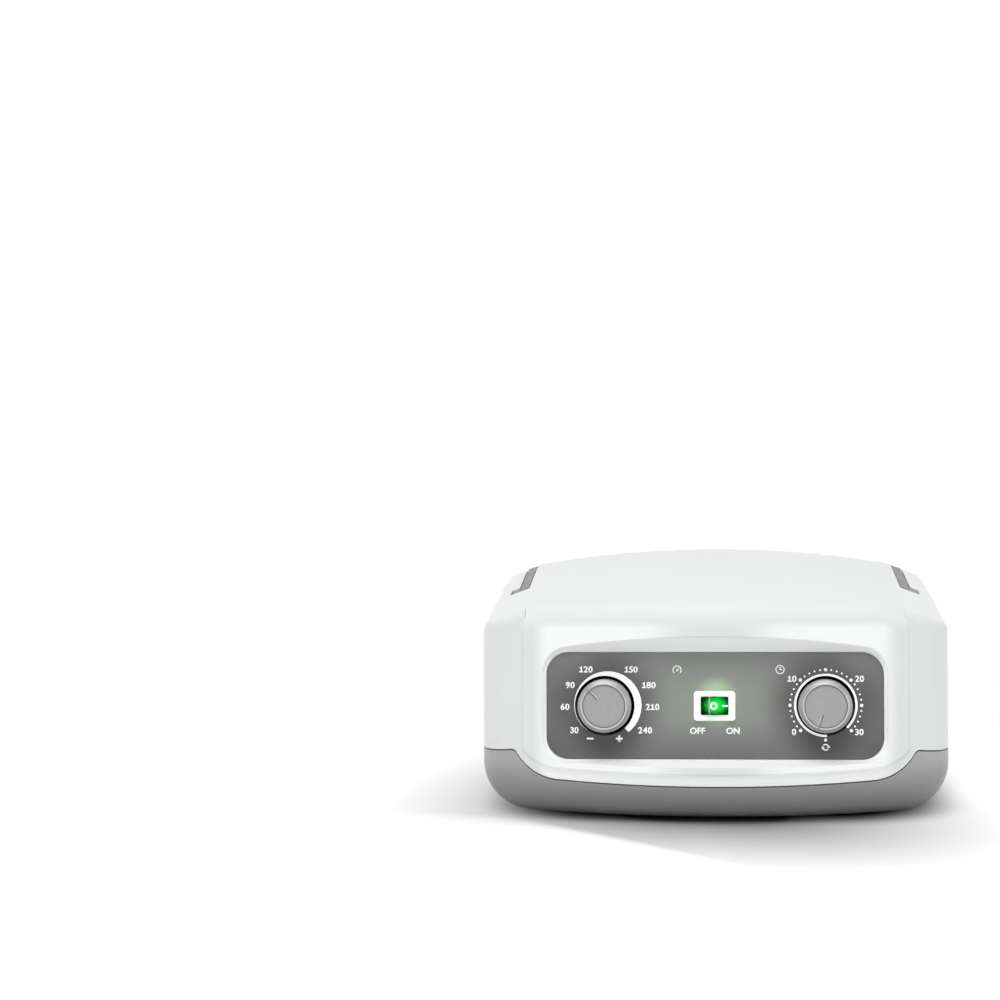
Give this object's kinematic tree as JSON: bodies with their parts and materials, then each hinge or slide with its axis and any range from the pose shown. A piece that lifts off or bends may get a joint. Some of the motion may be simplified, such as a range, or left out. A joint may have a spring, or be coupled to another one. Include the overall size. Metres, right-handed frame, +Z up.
{
  "type": "compression therapy pump",
  "caption": "Desk-top air compression pump: white case on a grey tray, dark panel with two dials and a lit rocker switch, folding carry handle, rear air outlets.",
  "frame": {"origin": "centre of the base at the plane of the feet, under the middle of the case", "axes": "+X to the right seen from the front, +Y to the rear, +Z up; the front with its panel faces -Y"},
  "size_m": [0.241, 0.1943, 0.121],
  "materials": {
    "case_white": "gloss injection-moulded ABS, near white",
    "tray_grey": "fine satin texture, mid grey",
    "panel_dark": "satin printed panel, dark grey",
    "handle_grey": "satin, light grey",
    "knob_grey": "satin painted, light grey",
    "disc_satin": "spun satin insert",
    "steel": "zinc-plated",
    "nickel": "nickel-plated",
    "brass": "machined",
    "black_plastic": "fine textured black",
    "rocker_green": "translucent lit green",
    "lamp_glass": "clear glass",
    "rubber": "matt black rubber",
    "felt": "grey felt",
    "core_steel": "laminated, lacquered",
    "copper_wire": "enamelled wire",
    "aluminium": "mill finish",
    "magnet": "nickel-plated magnet",
    "head_alloy": "die-cast",
    "rotor_white": "natural acetal",
    "board_green": "solder mask",
    "relay_blue": "moulded",
    "silicone": "milky silicone hose"
  },
  "bodies": {
    "case": {"base_tray": "tray_grey", "board_screws": "steel", "capacitors": "black_plastic", "case_screws": "steel", "compressor_frame": "steel", "compressor_mounts": "rubber", "control_panel": "panel_dark", "distributor_cup": "black_plastic", "drive_coils": "copper_wire", "fuse": "lamp_glass", "fuse_cap": "black_plastic", "fuse_holder": "black_plastic", "gear_motor": "steel", "handle_pins": "steel", "inlet_blades": "nickel", "inlet_screws": "steel", "intake_filter": "felt", "magnet_cores": "core_steel", "main_board": "board_green", "outlet_block": "black_plastic", "outlet_lines": "silicone", "outlet_screws": "steel", "ported_plate": "rotor_white", "power_inlet": "black_plastic", "pressure_line": "silicone", "pressure_nut": "nickel", "pressure_valve": "brass", "pump_head_left": "head_alloy", "pump_head_right": "head_alloy", "relay": "relay_blue", "rubber_feet": "rubber", "supply_line": "silicone", "switch_housing": "case_white", "switch_lamp": "lamp_glass", "switch_tabs": "brass", "terminal_block": "relay_blue", "time_nut": "nickel", "timer_case": "black_plastic", "timer_tabs": "brass", "transformer": "core_steel", "upper_shell": "case_white"},
    "pressure_control": {"pressure_knob": "knob_grey", "pressure_knob_disc": "disc_satin", "pressure_spindle": "steel"},
    "time_control": {"time_knob": "knob_grey", "time_knob_disc": "disc_satin", "time_spindle": "steel"},
    "rocker": {"switch_rocker": "rocker_green"},
    "handle": {"carry_handle": "handle_grey"},
    "armature_group": {"armature": "aluminium", "armature_magnets": "magnet", "diaphragm_left": "rubber", "diaphragm_right": "rubber"},
    "rotor": {"rotor_shaft": "steel", "distributor_rotor": "rotor_white"}
  },
  "joints": [
    {"name": "pressure_knob_turn", "type": "hinge", "parent": "case", "child": "pressure_control", "pos_m": [-0.056, -0.07688, 0.0593], "axis": [0, -0.9903, 0.1392], "range_deg": [-195, 105]},
    {"name": "time_knob_turn", "type": "hinge", "parent": "case", "child": "time_control", "pos_m": [0.056, -0.07688, 0.0593], "axis": [0, -0.9903, 0.1392], "range_deg": [-296, 19]},
    {"name": "power_rocker_tilt", "type": "hinge", "parent": "case", "child": "rocker", "pos_m": [0, -0.07698, 0.05931], "axis": [0, -0.1392, -0.9903], "range_deg": [0, 22]},
    {"name": "carry_handle_swing", "type": "hinge", "parent": "case", "child": "handle", "pos_m": [0, 0.011, 0.1013], "axis": [1, 0, 0], "range_deg": [0, 95]},
    {"name": "armature_swing", "type": "slide", "parent": "case", "child": "armature_group", "axis": [1, 0, 0], "range_m": [-0.0013, 0.0013], "stiffness_N_per_m": 6000},
    {"name": "distributor_turn", "type": "hinge", "parent": "case", "child": "rotor", "pos_m": [0.046, 0.04, 0.03], "axis": [0, 0, 1], "continuous": true}
  ]
}
